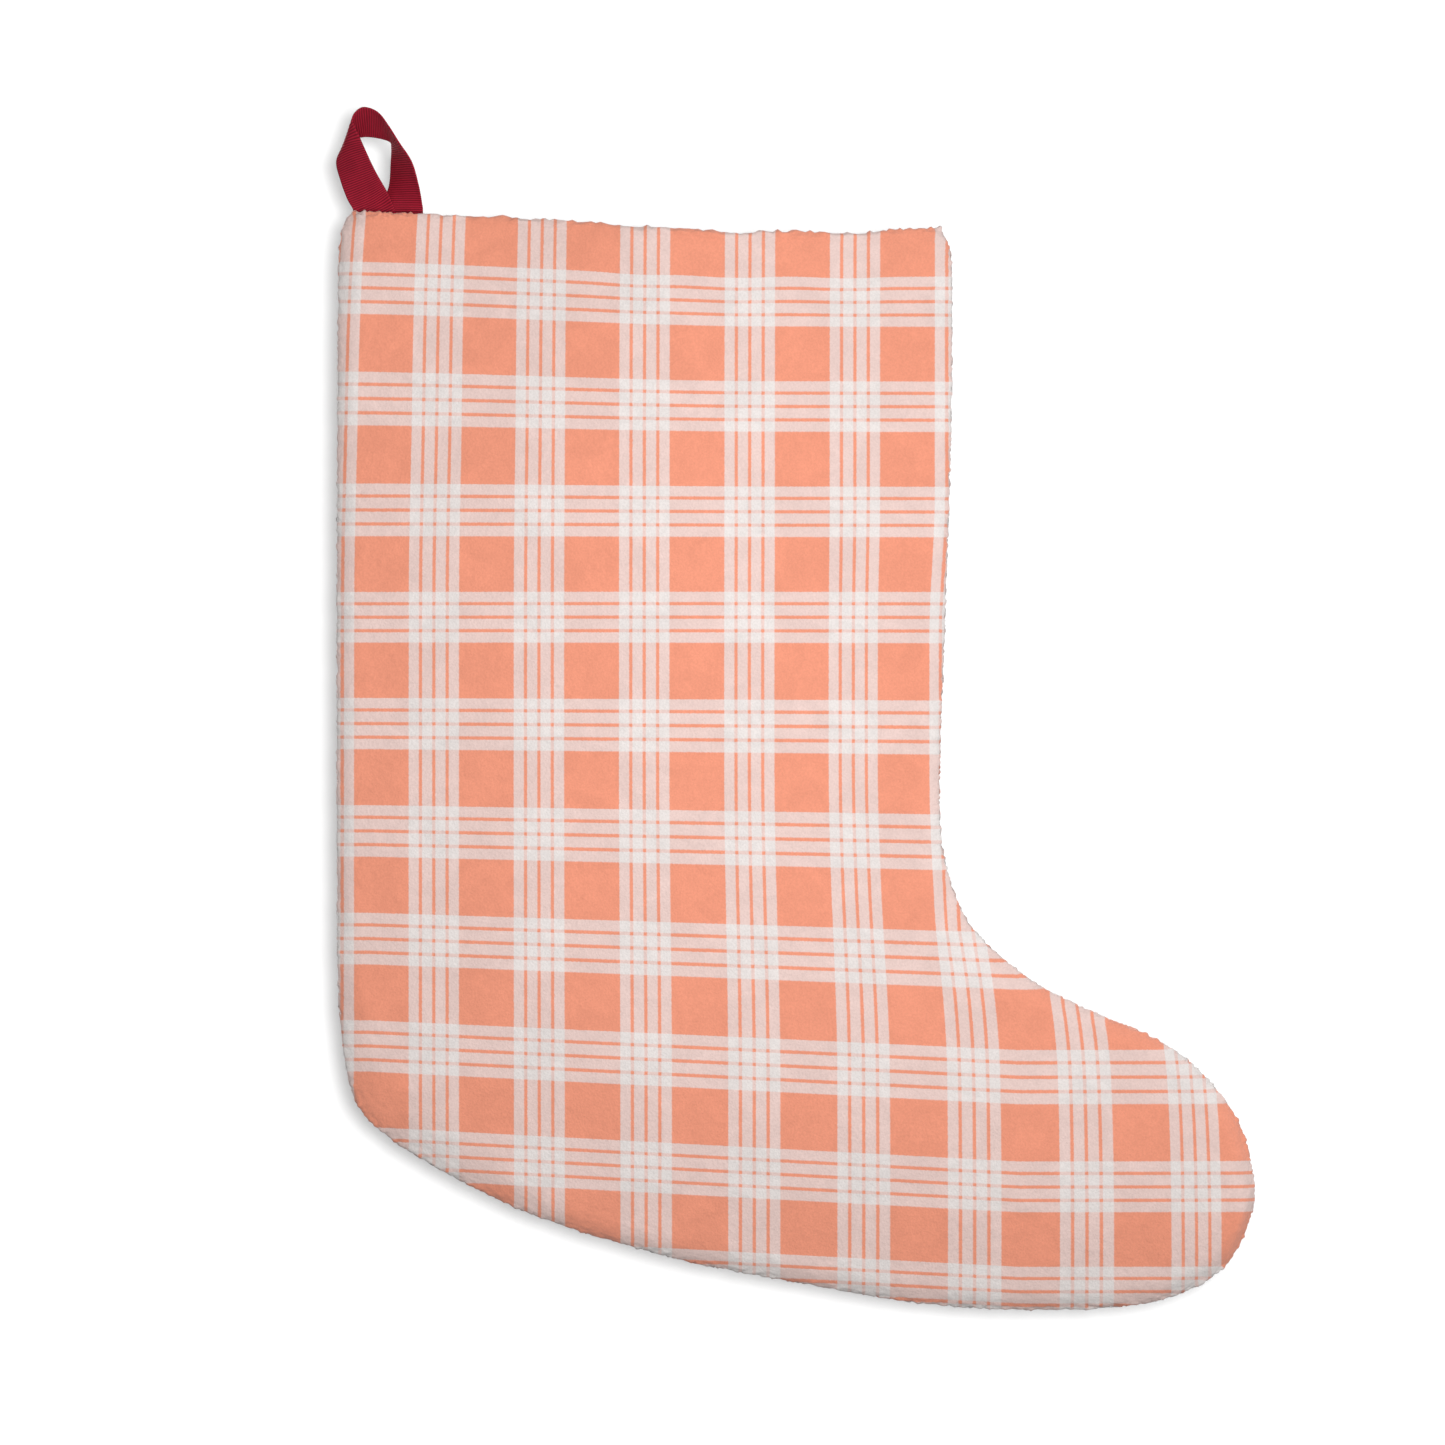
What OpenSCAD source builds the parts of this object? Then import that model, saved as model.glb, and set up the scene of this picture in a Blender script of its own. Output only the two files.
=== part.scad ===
// Lined plush stocking that hangs from a folded ribbon loop.
// The origin is the point of the loop that rests on a hook: +Z is up, +X points to the toe
// and the front faces -Y. The front and back halves mirror each other in the plane Y = 0.

/* [Stocking] */
// Width from the back of the leg to the tip of the toe
stocking_w = 381; // [340:1:420]
// Height from the mouth to the sole
stocking_h = 457; // [410:1:500]
// How far the middle of each half bows away from the seam plane
bow = 8.5; // [7:0.5:12]
// How far the middle of the mouth edge dips
mouth_dip = 3.4; // [0:0.2:6]

/* [Cloth] */
// Thickness of the plush where it lies flat, pile included
plush_t = 2.6; // [2.2:0.1:3]
// Depth of the rounding where a plush panel turns in to its seam
edge_round = 9; // [8:0.5:12]
// Width of plush that is held in the side seam
seam_w = 3; // [2.5:0.1:3.5]
// Thickness of the lining cloth
lining_t = 0.8; // [0.6:0.1:1]
// Depth of plush that is turned in at the mouth
turn_in = 4; // [3.5:0.1:4.5]

/* [Hanging loop] */
// Distance from the back of the leg to the hook
hook_in = 13.7; // [13.5:0.1:14]
// Distance from the hook down to the mouth edge
mouth_drop = 31.2; // [31:0.1:31.4]
// Width of each ribbon end
ribbon_w = 17.5; // [17:0.1:18]
// Thickness of the ribbon
ribbon_t = 0.45; // [0.35:0.05:0.45]
// Depth that the ribbon ends reach below the mouth edge
tail_depth = 18; // [14:1:22]

/* [Care label] */
// Width of the folded label
label_w = 34; // [25:1:40]
// Height of the part that hangs free
label_h = 15; // [12:1:15]
// Thickness of the folded label
label_t = 0.6; // [0.4:0.1:0.6]
// Distance from the back of the leg to the middle of the label
label_in = 140; // [110:1:170]

/* [Hidden] */

// Cut edge of the standard 381 x 457 pattern as [distance from the back, distance below the mouth].
// It runs from the mouth down the back, round the heel and along the sole to the tip of the toe,
// then back along the instep and up the front of the leg to the mouth.
PATTERN_SIZE = [381, 457];
PATTERN = [
    [6.5, 0], [2.2, 12], [0.4, 40], [0, 110], [0, 190], [0, 265], [0.6, 322], [4.6, 361],
    [14.5, 379.5], [42.5, 398.5], [84, 418.5], [140, 435.5], [196, 446.5], [247, 454.8], [296, 457],
    [340, 453.5], [368, 440],
    [380.5, 416],
    [380, 396], [374.5, 378.5], [364, 363.5], [351, 351], [334.5, 341.5], [316, 334], [297, 325],
    [279, 312.5], [263.5, 297], [256, 281], [251.5, 262], [250.6, 240], [252.4, 185], [255, 110],
    [256, 45], [254.5, 20], [251.3, 7]
];
LAST = len(PATTERN) - 1;
TOE = LAST / 2;
PLUSH_COLOR = "lightsalmon";
LINING_COLOR = "linen";
THREAD_COLOR = "bisque";
RIBBON_COLOR = "firebrick";

// Heights above the bow, from the seam plane out: room inside, lining, slack, plush.
inside_gap = 1;
slack = 1.8;
lining_y = inside_gap + lining_t;
plush_in_y = lining_y + slack;
plush_out_y = plush_in_y + plush_t;
lining_inset = seam_w + 2;

// Below its turned-in edge the plush slopes out over lip_slope to make room for the lining.
lip_slope = 4;
lip_mid = (plush_out_y + inside_gap) / 2;

// Middles of the ribbon's front and back ends, then of both, measured from the back of the leg.
ribbon_ends_in = [hook_in + 1.75, hook_in + 13.35];
loop_in = (ribbon_ends_in[0] + ribbon_ends_in[1]) / 2;

// Reach of the corner that the sewn-in ends hold flat, and the width over which the bow starts.
loop_flat = 15;
loop_fade = 100;

// The loop hinges on the mouth edge, and hinge_gap is its clearance above and below the hinge line.
hinge_z = -mouth_drop + 0.2;
hinge_gap = 0.5;
layer_y = ribbon_t / 2 + 0.05;

// Edges of the ribbon from its front end, over the hook, to its back end: the near edge, then the
// far edge, each as [x, y, z]. The ribbon makes a quarter turn on the way up and undoes it.
RIBBON = [
    [[10.5, -layer_y, hinge_z + hinge_gap], [-7, -layer_y, hinge_z + hinge_gap]],
    [[9.8, -0.6, -28.8], [-7.6, -0.2, -29.2]],
    [[7.3, -4.2, -23.3], [-9.4, 0.8, -26]],
    [[1.7, -8, -13.7], [-12.6, 1, -18.5]],
    [[-4.2, -10.9, -0.4], [-13.9, 0.5, -9.5]],
    [[-6.9, -12.4, 6.5], [-11, 0.6, -4.2]],
    [[-5, -12.6, 10.6], [-7, 0.2, -1.2]],
    [[-1.6, -12.5, 12.2], [-2.2, 0, 0]],
    [[3.7, -13.2, 9.8], [3.1, 0.9, -0.4]],
    [[8, -14, 3.9], [7.3, 2.5, -1.7]],
    [[12.5, -13.5, -3.2], [9, 3.6, -5]],
    [[17.6, -11.1, -11], [8.7, 4, -11]],
    [[20.4, -7.9, -20.5], [7.9, 3.9, -20.5]],
    [[21.9, -0.2, -28.6], [4.8, 0.8, -28.6]],
    [[22.1, layer_y, hinge_z + hinge_gap], [4.6, layer_y, hinge_z + hinge_gap]]
];

// Middle line of the sewn-in ribbon ends as [depth below the mouth, distance behind the seam plane].
// They pass under the turned-in plush and lie between the back panel and its lining.
TAIL_PATH = [[0.6, 0], [2.4, 0], [4, 0.3], [5.2, 1.05], [6.5, 1.95], [7.6, 2.55], [9, 2.7],
             [tail_depth, 2.7]];
tack_depth = 12;
tack_size = [25, 2, 2.2];

// The same for the label's sewn-in end, with heights above the bow. It turns over the lining's edge.
LABEL_PATH = [[6.1, -0.2], [5.5, -0.1], [5.1, 0.4], [5.2, 1.1], [6.1, 1.9], [7.5, 2.6], [9, 2.75],
              [14, 2.75]];
label_hinge = [6.75, -0.2];
label_gap = 0.65;

// Thread radii, and where the mouth seam runs between the turned-in plush and the lining's edge.
panel_thread_r = 0.6;
lining_thread_r = 0.3;
mouth_thread_r = 0.6;
mouth_seam = [6.75, 2.25];

// ---- Curves ----

function item(list, i) = list[max(0, min(len(list) - 1, i))];
function blend(a, b, f) = a + (b - a) * f;
function unit(v) = v / norm(v);
function reverse(list) = [for (i = [len(list) - 1:-1:0]) list[i]];
function step01(x) = let (f = max(0, min(1, x))) f * f * (3 - 2 * f);

// Quarter round: 0 at the edge and 1 from the depth r inwards.
function rise(d, r) = let (f = 1 - max(0, min(1, d / r))) sqrt(1 - f * f);

// Smooth curve through a list of points, with u = 0 at the first one and 1 more at each next one.
function curve(list, u) =
    let (i = min(floor(u), len(list) - 2), f = u - i,
         a = item(list, i - 1), b = list[i], c = list[i + 1], d = item(list, i + 2))
    b + f * ((c - a) / 2 + f * ((2 * a - 5 * b + 4 * c - d) / 2 + f * (3 * b - a - 3 * c + d) / 2));

function cut_edge(u) = let (p = curve(PATTERN, u))
    [p[0] * stocking_w / PATTERN_SIZE[0], p[1] * stocking_h / PATTERN_SIZE[1]];

// Direction into the stocking at a point of the cut edge.
function inward(u) = let (v = cut_edge(min(LAST, u + 0.4)) - cut_edge(max(0, u - 0.4)))
    unit([v[1], -v[0]]);
function inset_edge(u, inset) = cut_edge(u) + inset * inward(u);

// ---- Surface of a half: rows u run from the mouth to the toe, fractions t from the back to the front ----

function row_w(u) = norm(cut_edge(LAST - u) - cut_edge(u));
function dip(u, t) = [0, mouth_dip * sin(180 * pow(t, 1.8)) * max(0, 1 - u / 2)];
function flat_point(u, t, inset = 0) =
    blend(inset_edge(u, inset), inset_edge(LAST - u, inset), t) + dip(u, t);
function depth(u, t) = flat_point(u, t)[1] - flat_point(0, t)[1];

// Bow of a half: none at the seams, nor at the corner that the loop's ends hold flat.
function bow_at(u, t) = let (from_loop = norm(flat_point(u, t) - [loop_in, 0]))
    bow * pow(row_w(u) / row_w(2), 0.6) * pow(sin(180 * t), 1.2) * step01((from_loop - loop_flat) / loop_fade);

// A point of the flat pattern in the part's own frame, y in front of the seam plane.
function place(p, y) = [p[0] - hook_in, -y, -mouth_drop - p[1]];

// A point of a layer that is y high over the bow and rounds down to the seam plane over the width r.
function layer(u, t, inset, y, r) =
    let (p = flat_point(u, t, inset), q = p - dip(u, t),
         from_back = (q - inset_edge(u, inset)) * inward(u),
         from_front = (q - inset_edge(LAST - u, inset)) * inward(LAST - u))
    place(p, y * rise(from_back, r) * rise(from_front, r) + bow_at(u, t));

// The two faces of the plush close up in a round lip at the mouth.
function lip(u, t) = rise(depth(u, t) + 0.35, plush_t);
function plush_face(u, t) = layer(u, t, 0, blend(lip_mid, plush_out_y, lip(u, t)), edge_round);
function plush_back(u, t) =
    let (below = max(0, min(1, (depth(u, t) - turn_in) / lip_slope)))
    layer(u, t, seam_w, blend(lip_mid, blend(inside_gap, plush_in_y, below), lip(u, t)), edge_round - seam_w);
function lining_face(u, t) = layer(u, t, lining_inset, lining_y, 4);
function lining_back(u, t) = layer(u, t, lining_inset + lining_t, inside_gap, 3.2);

// ---- Solids from rings of points ----

// Faces of a solid of n rings with k points each. Each end is closed by pairing up its points.
function skin_faces(n, k) = let (o = (n - 1) * k) concat(
    [for (r = [0:n - 2], i = [0:k - 1]) let (a = r * k + i, b = r * k + (i + 1) % k)
        each [[a, b, b + k], [a, b + k, a + k]]],
    [for (i = [0:k / 2 - 2]) each [[i, k - 1 - i, k - 2 - i], [i, k - 2 - i, i + 1]]],
    [for (i = [0:k / 2 - 2]) each [[o + i, o + i + 1, o + k - 2 - i], [o + i, o + k - 2 - i, o + k - 1 - i]]]
);
module skin(rings) {
    polyhedron(points = [for (r = rings) each r], faces = skin_faces(len(rings), len(rings[0])));
}

// Rows lie close together at the mouth and the toe. Columns do at the two side seams.
body_rows = concat([for (u = [1:0.5:TOE - 2.5]) u], [for (u = [TOE - 2:0.3:TOE - 0.2]) u]);
plush_rows = concat([0, 0.03, 0.1, 0.19, 0.3, 0.38, 0.48, 0.6, 0.7, 0.85], body_rows);
lining_rows = concat([0.7, 0.85], body_rows);
function columns(n) = [for (i = [0:n]) (1 - cos(180 * i / n)) / 2];

module plush_half() {
    skin([for (t = columns(20)) concat([for (u = plush_rows) plush_back(u, t)],
                                       reverse([for (u = plush_rows) plush_face(u, t)]))]);
}
module lining_half() {
    skin([for (t = columns(14)) concat([for (u = lining_rows) lining_back(u, t)],
                                       reverse([for (u = lining_rows) lining_face(u, t)]))]);
}

// Thread in the seam plane, at a constant inset from the cut edge.
module seam_thread(inset, r, start) {
    skin([for (u = [start:0.4:LAST - start])
        [for (a = [0:60:300]) place(inset_edge(u, inset) + r * cos(a) * inward(u), -r * sin(a))]]);
}

// ---- The front half near its mouth: x from the back of the leg, d below the mouth edge ----

function t_at(x) = (x - cut_edge(0)[0]) / (cut_edge(LAST)[0] - cut_edge(0)[0]);
function mouth_bow(x) = bow_at(0.5, t_at(x));
function near_mouth(x, d, y) = place([x, flat_point(0, t_at(x))[1] + d], y);

module mouth_thread() {
    skin([for (t = [0.03:0.047:0.97])
        let (x = blend(cut_edge(0)[0], cut_edge(LAST)[0], t))
        [for (a = [0:60:300]) near_mouth(x, mouth_seam[0] + mouth_thread_r * cos(a),
                                         mouth_seam[1] + mouth_bow(x) + mouth_thread_r * sin(a))]]);
}

// Strip w wide and thick t that follows a path of [depth, height], at the distance x from the back.
function path_normal(path, i) = let (v = item(path, i + 1) - item(path, i - 1)) unit([-v[1], v[0]]);
module strip(path, x, w, thick, y = 0) {
    skin([for (i = [0:len(path) - 1])
        let (n = path_normal(path, i) * thick / 2, out = path[i] + n, in = path[i] - n, side = [w / 2, 0, 0],
             a = near_mouth(x, out[0], out[1] + y), b = near_mouth(x, in[0], in[1] + y))
        [a - side, a + side, b + side, b - side]]);
}

// ---- Ribbon band ----

band_steps = 4;
function band_ring(a, b, n) = concat([for (i = [0:band_steps]) blend(a, b, i / band_steps) + n],
                                     [for (i = [band_steps:-1:0]) blend(a, b, i / band_steps) - n]);
function ribbon_ring(u) =
    let (edges = curve(RIBBON, u), last = len(RIBBON) - 1,
         along = curve(RIBBON, min(last, u + 0.05)) - curve(RIBBON, max(0, u - 0.05)))
    band_ring(edges[0], edges[1], unit(cross(along[0] + along[1], edges[1] - edges[0])) * ribbon_t / 2);

// ---- Pieces ----

module front_panel() { color(PLUSH_COLOR) plush_half(); }
module back_panel() { color(PLUSH_COLOR) mirror([0, 1, 0]) plush_half(); }
module front_lining() { color(LINING_COLOR) lining_half(); }
module back_lining() { color(LINING_COLOR) mirror([0, 1, 0]) lining_half(); }
module panel_seam_thread() { color(THREAD_COLOR) seam_thread(seam_w / 2, panel_thread_r, 0.2); }
module lining_seam_thread() { color(THREAD_COLOR) seam_thread(lining_inset + lining_t / 2, lining_thread_r, 0.8); }
module mouth_seam_thread() {
    color(THREAD_COLOR) {
        mouth_thread();
        mirror([0, 1, 0]) mouth_thread();
    }
}
module hanging_loop() { color(RIBBON_COLOR) skin([for (u = [0:1/3:len(RIBBON) - 1]) ribbon_ring(u)]); }
module loop_ends() {
    color(RIBBON_COLOR) mirror([0, 1, 0]) for (i = [0, 1])
        strip(TAIL_PATH, ribbon_ends_in[i], ribbon_w, ribbon_t, (2 * i - 1) * layer_y);
}
module loop_bar_tack() {
    at = near_mouth(loop_in, tack_depth, -TAIL_PATH[len(TAIL_PATH) - 1][1] - tack_size[1] / 2 + 0.6);
    color(THREAD_COLOR) translate(at) cube(tack_size, center = true);
}
module care_label() {
    path = [for (d = [label_gap, label_gap + label_h]) label_hinge + [d, 0]];
    color("white") mirror([0, 1, 0]) strip(path, label_in, label_w, label_t, mouth_bow(label_in));
}
module label_ends() {
    color("white") mirror([0, 1, 0]) strip(LABEL_PATH, label_in, label_w, label_t, mouth_bow(label_in));
}

front_panel();
back_panel();
front_lining();
back_lining();
panel_seam_thread();
lining_seam_thread();
mouth_seam_thread();
hanging_loop();
loop_ends();
loop_bar_tack();
care_label();
label_ends();
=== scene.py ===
"""Lined plush stocking on a folded ribbon loop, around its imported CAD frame.

The shapes are worked out in millimetres: x from the back of the leg towards the toe, d down from the
mouth edge, and h out from the seam plane on one side of the stocking. Meshes are in metres in the row
frame, where the front side faces -Y.
"""
import itertools
import math

import bpy
import numpy as np
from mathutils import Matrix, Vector


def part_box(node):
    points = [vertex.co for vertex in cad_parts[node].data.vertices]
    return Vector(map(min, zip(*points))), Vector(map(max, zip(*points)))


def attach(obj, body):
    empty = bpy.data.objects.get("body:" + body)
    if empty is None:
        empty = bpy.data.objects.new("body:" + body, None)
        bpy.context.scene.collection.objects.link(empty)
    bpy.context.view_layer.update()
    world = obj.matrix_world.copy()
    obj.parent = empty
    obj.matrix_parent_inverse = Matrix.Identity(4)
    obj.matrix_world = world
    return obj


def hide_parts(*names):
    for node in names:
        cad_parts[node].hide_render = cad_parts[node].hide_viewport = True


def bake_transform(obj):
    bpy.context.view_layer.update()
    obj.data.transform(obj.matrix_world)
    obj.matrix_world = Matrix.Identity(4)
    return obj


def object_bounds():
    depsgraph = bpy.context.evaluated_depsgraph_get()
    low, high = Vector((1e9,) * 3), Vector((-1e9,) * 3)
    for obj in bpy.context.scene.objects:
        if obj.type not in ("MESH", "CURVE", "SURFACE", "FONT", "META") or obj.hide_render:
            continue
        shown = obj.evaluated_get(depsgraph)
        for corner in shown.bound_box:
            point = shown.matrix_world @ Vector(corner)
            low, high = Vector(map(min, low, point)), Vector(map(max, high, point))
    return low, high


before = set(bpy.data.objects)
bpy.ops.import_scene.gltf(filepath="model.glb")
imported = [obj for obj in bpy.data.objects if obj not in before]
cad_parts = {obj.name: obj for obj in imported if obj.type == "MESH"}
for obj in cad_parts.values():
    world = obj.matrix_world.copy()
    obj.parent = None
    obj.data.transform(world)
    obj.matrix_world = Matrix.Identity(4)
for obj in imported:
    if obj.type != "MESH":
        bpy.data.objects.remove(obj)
cad_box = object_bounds()

MM = 0.001
FRONT, BACK = 1, -1  # the two sides of the seam plane


# ---- Sizes, from the frame ----

def node_box(name):
    """A CAD node's lowest and highest corners in millimetres."""
    return [np.array(corner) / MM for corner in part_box(name)]


panel_low, panel_high = node_box("front_panel")
stocking_w, _, stocking_h = panel_high - panel_low
hook_in = -panel_low[0]
mouth_drop = -panel_high[2]

# Heights above the bow, from the seam plane out: room inside, lining, slack, plush.
inside_gap = 1.0
lining_t = 0.8
lining_y = inside_gap + lining_t
plush_in_y = lining_y + 1.8
plush_t = 2.6
plush_out_y = plush_in_y + plush_t
bow = -panel_low[1] - plush_out_y
lip_mid = (plush_out_y + inside_gap) / 2

edge_round = 9.0  # width over which each half rounds down to its seam
heel_round = 13.0  # how much wider the rounding is at the heel
seam_w = 3.0  # width of plush in the side seam
lining_inset = seam_w + 2
turn_in = 4.0  # depth of plush that is turned in at the mouth
lip_slope = 4.0  # depth over which the plush slopes out again below it
lip_start = 0.35  # how far the lip's rounding has already gone at the mouth edge
mouth_dip = 3.4
half_leg = 126.0

ribbon_w = 17.5
ribbon_t = 0.45
rib_pitch, rib_h = 0.95, 0.08
selvedge_h = 0.06
float_pitch = 0.42  # between the threads that run along the ribbon
layer_y = ribbon_t / 2 + 0.05  # distance of each ribbon end from the plane between the two
ribbon_ends_in = [hook_in + 1.75, hook_in + 13.35]  # middles of the front and the back end
loop_in = sum(ribbon_ends_in) / 2
loop_flat, loop_fade = 15.0, 100.0  # how far the loop holds the cloth flat, and the fade beyond
hinge_x, hinge_z = 7.6, -mouth_drop + 0.2

# Cut edge of the standard pattern as [distance from the back, distance below the mouth], from the
# mouth down the back, round the heel, along the sole to the toe, and back up to the mouth.
PATTERN_SIZE = np.array([381.0, 457.0])
PATTERN = [
    [6.8, 0], [1.7, 9.5], [0.4, 40], [0, 110], [0, 190], [0, 265], [0.6, 322], [4.6, 361],
    [14.5, 379.5], [42.5, 398.5], [84, 418.5], [140, 435.5], [196, 446.5], [247, 454.8], [296, 457],
    [340, 453.5], [368, 440],
    [380.5, 416],
    [380, 396], [374.5, 378.5], [364, 363.5], [351, 351], [334.5, 341.5], [316, 334], [297, 325],
    [279, 312.5], [263.5, 297], [256, 281], [251.5, 262], [250.6, 240], [252.4, 185], [255, 110],
    [256, 45], [255.4, 19], [251.3, 7],
]
LAST = len(PATTERN) - 1
TOE = LAST / 2
HEEL = 8  # the pattern's point at the heel
WIDEST = 2.0  # the row just below the mouth's corners

# Edges of the ribbon from its front end, over the hook, to its back end: the near edge, then the
# far edge, each as [x, y, z] in the row frame.
hinge_top = hinge_z + 0.5
RIBBON = [
    [[10.5, -layer_y, hinge_top], [-7, -layer_y, hinge_top]],
    [[9.8, -0.6, -28.8], [-7.6, -0.2, -29.2]],
    [[7.3, -4.2, -23.3], [-9.4, 0.8, -26]],
    [[1.9, -8, -13.7], [-12.1, 1, -18.5]],
    [[-4.2, -10.9, -0.4], [-13.9, 0.5, -10.5]],
    [[-6.9, -12.4, 6.3], [-11, 0.6, -4.2]],
    [[-5, -12.6, 10.2], [-7, 0.2, -1.2]],
    [[-1.6, -12.5, 11.6], [-2.2, 0, 0]],
    [[3.7, -13.2, 9.4], [3.1, 0.9, -0.4]],
    [[8, -14, 3.9], [8.1, 2.7, -1.8]],
    [[12.5, -13.5, -3.2], [9, 3.4, -4.2]],
    [[17.6, -11.1, -11], [8.7, 4, -11]],
    [[20.4, -7.9, -20.5], [7.9, 3.9, -20.5]],
    [[21.9, -0.2, -28.6], [4.8, 0.8, -28.6]],
    [[22.1, layer_y, hinge_top], [4.6, layer_y, hinge_top]],
]

# Middle lines of the sewn-in ribbon ends and of the label's sewn-in end, as [depth, height].
TAIL_PATH = [[0.6, 0], [2.4, 0], [4, 0.3], [5.2, 1.05], [6.5, 1.95], [7.6, 2.55], [9, 2.7], [18, 2.7]]
LABEL_PATH = [[6.1, -0.2], [5.5, -0.1], [5.1, 0.4], [5.2, 1.1], [6.1, 1.9], [7.5, 2.6], [9, 2.75],
              [14, 2.75]]
label_w, label_h, label_t = 34.0, 15.0, 0.6
label_in = 140.0
label_hinge = [6.75, -0.2]


# ---- Curves and noise ----

def step01(x):
    """Smooth step from 0 to 1 as x goes from 0 to 1."""
    f = np.clip(x, 0, 1)
    return f * f * (3 - 2 * f)


def rise(d, r):
    """Quarter round: 0 at the edge and 1 from the depth r inwards."""
    f = 1 - np.clip(d / r, 0, 1)
    return np.sqrt(1 - f * f)


def mix(a, b, f):
    return a + (b - a) * f


def unit(vectors):
    return vectors / np.linalg.norm(vectors, axis=-1, keepdims=True)


def curve(points, u):
    """Smooth curve through a list of points, with u = 0 at the first one and 1 more at each next one."""
    points = np.asarray(points, float)
    u = np.asarray(u, float)
    i = np.clip(np.floor(u).astype(int), 0, len(points) - 2)
    a, b = points[np.maximum(i - 1, 0)], points[i]
    c, d = points[i + 1], points[np.minimum(i + 2, len(points) - 1)]
    f = (u - i).reshape(u.shape + (1,) * (points.ndim - 1))
    return b + f * ((c - a) / 2 + f * ((2 * a - 5 * b + 4 * c - d) / 2 + f * (3 * b - a - 3 * c + d) / 2))


def lengths(points):
    """Distance along a line of points, from 0 at its first point."""
    return np.append(0, np.cumsum(np.linalg.norm(np.diff(points, axis=0), axis=1)))


def along_line(at, run, line):
    """Points at the distances at along a line, whose own points lie at the distances run."""
    return np.stack([np.interp(at, run, line[:, k]) for k in range(3)], -1)


# Factors and the 32-bit mask that scramble the number of a cell in noise().
CELL_FACTORS = np.array([73856093, 19349663, 83492791])
SEED_FACTOR = 2654435761
MIX_FACTORS = (1274126177, -2048144777)
WORD = 0xFFFFFFFF


def noise(points, size, seed):
    """Smooth random value from -1 to 1 at each point, with bumps about size across."""
    q = np.asarray(points, float) / size + 1000.0
    cell = np.floor(q).astype(np.int64)
    f = step01(q - cell)
    total = 0
    for corner in itertools.product((0, 1), repeat=q.shape[-1]):
        corner = np.array(corner)
        key = ((cell + corner) * CELL_FACTORS[:len(corner)]).sum(-1) + seed * SEED_FACTOR
        key = ((key ^ (key >> 13)) & WORD) * MIX_FACTORS[0] & WORD
        key = (key ^ (key >> 16)) * MIX_FACTORS[1] & WORD
        weight = np.prod(np.where(corner == 1, f, 1 - f), axis=-1)
        total = total + weight * ((key >> 8 & 0xFFFF) / 32767.5 - 1)
    return total


# ---- Surface of a half: rows u run from the mouth to the toe, fractions t from the back to the front ----

def cut_edge(u):
    """Point of the pattern's cut edge, at this stocking's size."""
    return curve(PATTERN, u) * np.array([stocking_w, stocking_h]) / PATTERN_SIZE


def inward(u):
    """Direction into the stocking at a point of the cut edge."""
    v = cut_edge(np.minimum(LAST, u + 0.4)) - cut_edge(np.maximum(0, u - 0.4))
    return unit(np.stack([v[..., 1], -v[..., 0]], -1))


def inset_edge(u, inset):
    return cut_edge(u) + inset * inward(u)


def dip(u, t):
    """How far the mouth edge and the two rows below it dip, most towards the front of the leg."""
    down = mouth_dip * np.sin(np.pi * np.power(t, 1.8)) * np.maximum(0, 1 - u / 2)
    return np.stack([np.zeros_like(down), down], -1)


def across(u, t, inset=0):
    """Point of the row u at the fraction t, without the dip of the mouth edge."""
    return mix(inset_edge(u, inset), inset_edge(LAST - u, inset), t[..., None])


def depth(u, t):
    """Distance below the mouth edge."""
    return (across(u, t) + dip(u, t) - across(u * 0, t) - dip(u * 0, t))[..., 1]


def bow_at(u, t):
    """Height that the half bows to: none at the seams nor at the corner that the loop's ends hold flat."""
    width = np.linalg.norm(cut_edge(LAST - u) - cut_edge(u), axis=-1)
    full = np.linalg.norm(cut_edge(np.array(LAST - WIDEST)) - cut_edge(np.array(WIDEST)))
    from_loop = np.linalg.norm(across(u, t) + dip(u, t) - np.array([loop_in, 0]), axis=-1)
    hump = np.maximum(0, np.sin(np.pi * t)) ** 1.2
    return bow * (width / full) ** 0.6 * hump * step01((from_loop - loop_flat) / loop_fade)


def slack_at(p, side, share):
    """Soft unevenness of the hanging cloth, as a height. share is 0 where the cloth is held."""
    seed = 11 if side == FRONT else 12
    swells = 1.5 * noise(p, 95, seed)
    ripples = 0.6 * noise(p, 38, seed + 2)
    return share * (swells + ripples)


def place(p, h, side):
    """Point of the flat pattern in the row frame, in millimetres, h out from the seam plane."""
    return np.stack([p[..., 0] - hook_in, -side * h, -mouth_drop - p[..., 1]], -1)


def layer(u, t, inset, h, r, side):
    """Points of a cloth layer that is h high over the bow and rounds down to the seam over the width r."""
    u, t = np.broadcast_arrays(np.asarray(u, float), np.asarray(t, float))
    q = across(u, t, inset)
    from_back = ((q - inset_edge(u, inset)) * inward(u)).sum(-1)
    from_front = ((q - inset_edge(LAST - u, inset)) * inward(LAST - u)).sum(-1)
    hump = bow_at(u, t)
    p = q + dip(u, t)
    cloth = h * rise(from_back, r) * rise(from_front, r)
    return place(p, cloth + hump + slack_at(p, side, hump / bow), side)


def round_at(u):
    """Width over which the half rounds down to the seam, with a longer round at the heel."""
    return edge_round + heel_round * np.exp(-((u - HEEL) / 1.3) ** 2)


def plush_face(u, t, side):
    """Outer face of a plush panel, which rolls in over the lip at the mouth."""
    lip = rise(depth(u, t) + lip_start, plush_t)
    return layer(u, t, 0, mix(lip_mid, plush_out_y, lip), round_at(u), side)


def plush_back(u, t, side):
    """Inner face of a plush panel: the turned-in plush, then the inside of the cloth below it."""
    d = depth(u, t)
    below = np.clip((d - turn_in) / lip_slope, 0, 1)
    h = mix(lip_mid, mix(inside_gap, plush_in_y, below), rise(d + lip_start, plush_t))
    return layer(u, t, seam_w, h, round_at(u) - seam_w, side)


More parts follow.
